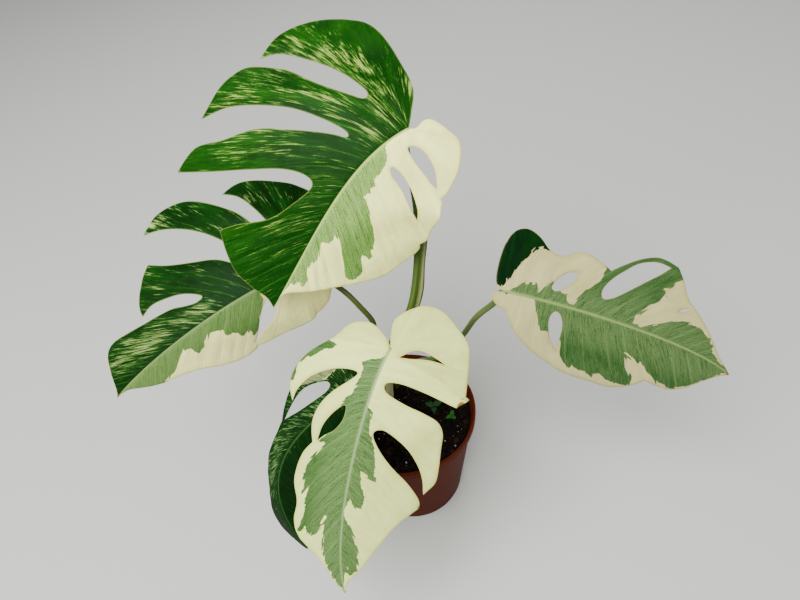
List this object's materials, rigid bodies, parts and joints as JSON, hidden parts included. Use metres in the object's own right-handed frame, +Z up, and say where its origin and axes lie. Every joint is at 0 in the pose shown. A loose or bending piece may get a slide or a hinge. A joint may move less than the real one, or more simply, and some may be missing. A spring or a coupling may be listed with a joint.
{
  "type": "potted variegated monstera",
  "caption": "Young variegated monstera in a tapered nursery pot: large split and slit heart-shaped leaves, dark green on one side and cream on the other, on long stalks.",
  "frame": {"origin": "centre of the pot's base, on the surface that the pot stands on", "axes": "+Z up along the pot's axis, -Y towards the viewer of the picture, +X to the viewer's right"},
  "size_m": [0.4786, 0.2511, 0.4139],
  "materials": {
    "pot_plastic": "satin moulded",
    "potting_mix": "matte, crumbly",
    "stem": "matte",
    "stalk_olive": "satin",
    "stalk_pale": "satin",
    "leaf_green": "waxy satin",
    "leaf_cream": "waxy satin",
    "seedling": "matte"
  },
  "bodies": {
    "root": {"pot": "pot_plastic", "soil": "potting_mix", "main_stem": "stem", "stalk_top": "stalk_olive", "stalk_left": "stalk_olive", "stalk_low": "stalk_olive", "stalk_right": "stalk_pale", "stalk_front": "stalk_pale", "leaf_top": "leaf_green", "leaf_left": "leaf_green", "leaf_low": "leaf_green", "leaf_front": "leaf_cream", "leaf_right": "leaf_cream", "seedling_1": "seedling", "seedling_2": "seedling", "seedling_3": "seedling"}
  },
  "joints": []
}
